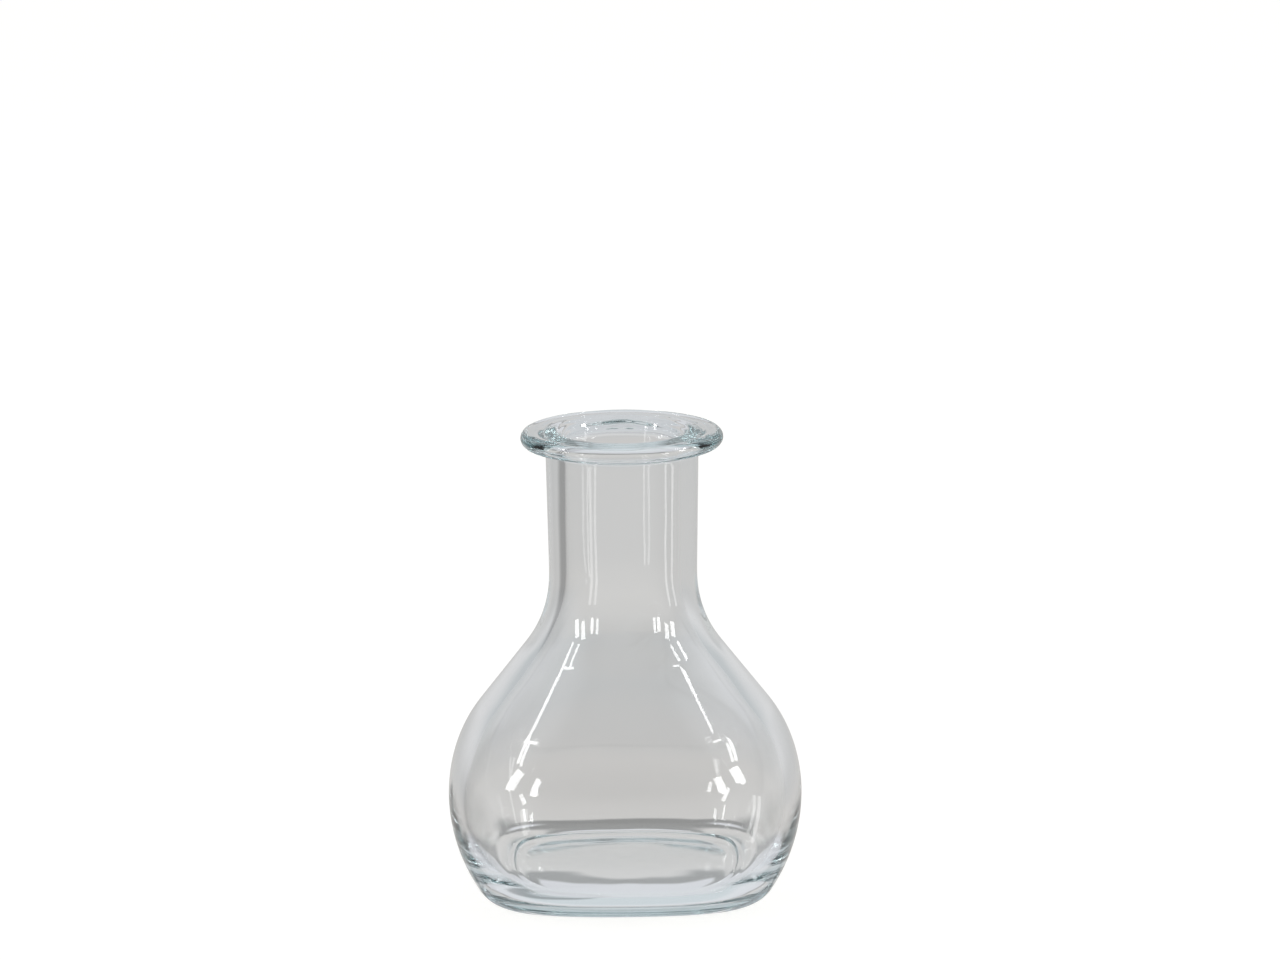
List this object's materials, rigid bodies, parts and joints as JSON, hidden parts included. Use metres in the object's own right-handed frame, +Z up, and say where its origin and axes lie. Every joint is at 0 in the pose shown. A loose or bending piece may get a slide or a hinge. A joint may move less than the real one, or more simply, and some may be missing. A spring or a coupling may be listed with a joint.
{
  "type": "bud vase",
  "caption": "Small clear glass vase for a short stem or two: a square-bellied bottle form with a straight round neck and a flat lip.",
  "frame": {"origin": "on the table under the middle of the neck, at the foot's lowest level", "axes": "+Z up along the neck; +X and +Y square to the belly's flat sides"},
  "size_m": [0.08, 0.08, 0.105],
  "materials": {
    "clear_glass": "clear pressed-and-blown soda-lime glass, faintly blue-green where it is thick"
  },
  "bodies": {
    "root": {"vase": "clear_glass"}
  },
  "joints": []
}
